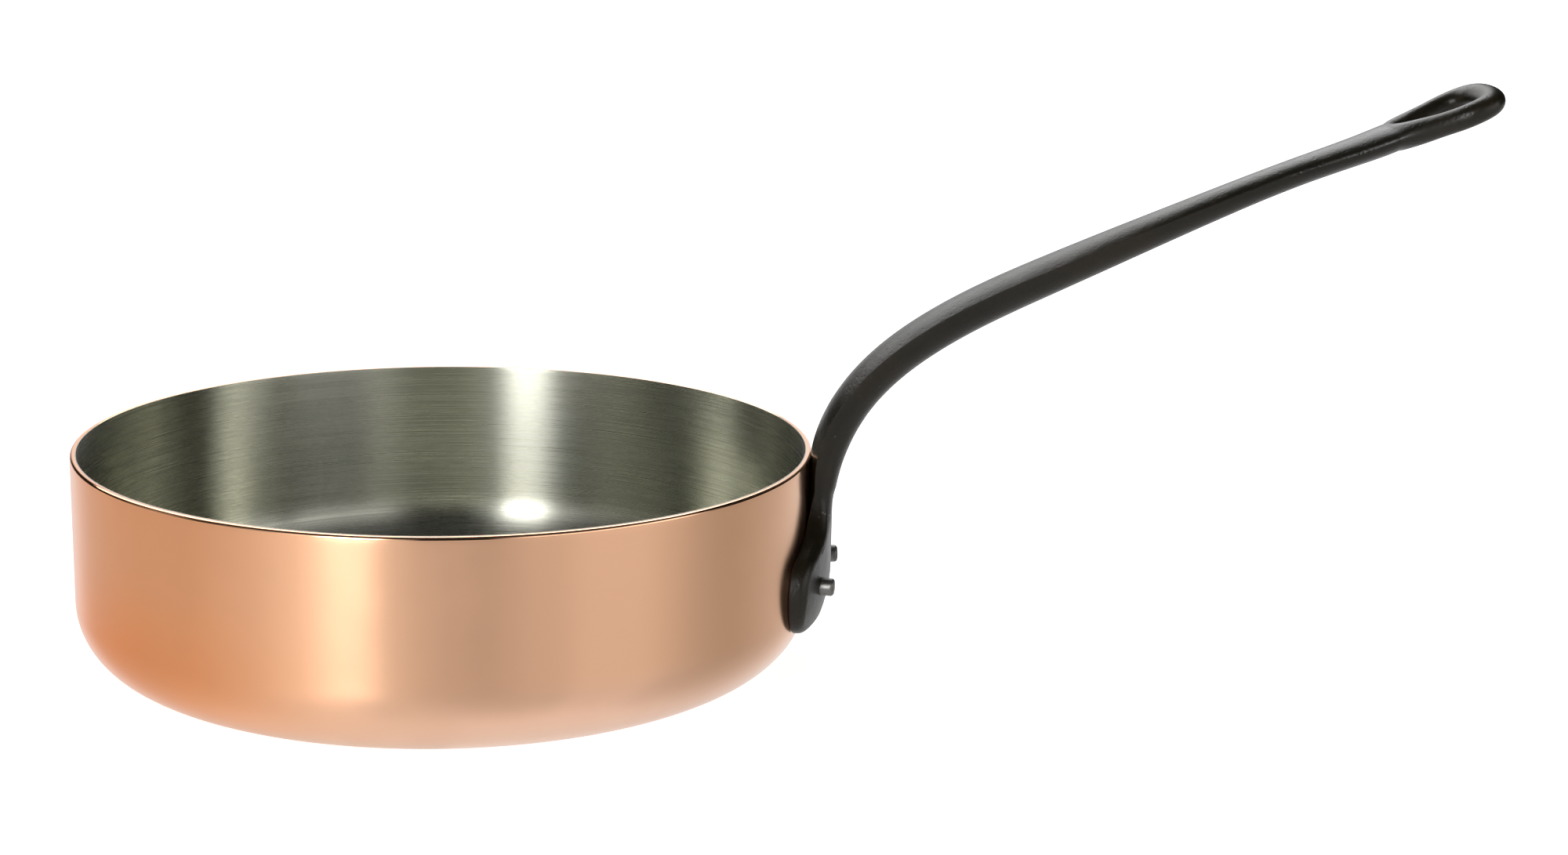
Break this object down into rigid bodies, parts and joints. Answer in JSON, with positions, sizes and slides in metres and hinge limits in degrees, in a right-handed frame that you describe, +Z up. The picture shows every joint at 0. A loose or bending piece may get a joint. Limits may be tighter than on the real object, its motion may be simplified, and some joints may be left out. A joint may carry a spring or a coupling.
{
  "type": "saute pan",
  "caption": "Wide shallow straight-sided copper pan with a bonded steel lining and a long riveted cast-iron handle that ends in a hanging loop.",
  "frame": {"origin": "centre of the flat base, on the surface the pan stands on", "axes": "+Z up through the open mouth, +X along the handle away from the pan"},
  "size_m": [0.4529, 0.24, 0.1953],
  "materials": {
    "copper": "polished copper with a soft satin sheen",
    "lining_steel": "stainless steel brushed round the wall",
    "cast_iron": "black as-cast iron with a light oiled sheen",
    "rivet_steel": "dull grey stainless steel"
  },
  "bodies": {
    "root": {"copper_body": "copper", "steel_lining": "lining_steel", "cast_iron_handle": "cast_iron", "rivet_left": "rivet_steel", "rivet_right": "rivet_steel"}
  },
  "joints": []
}
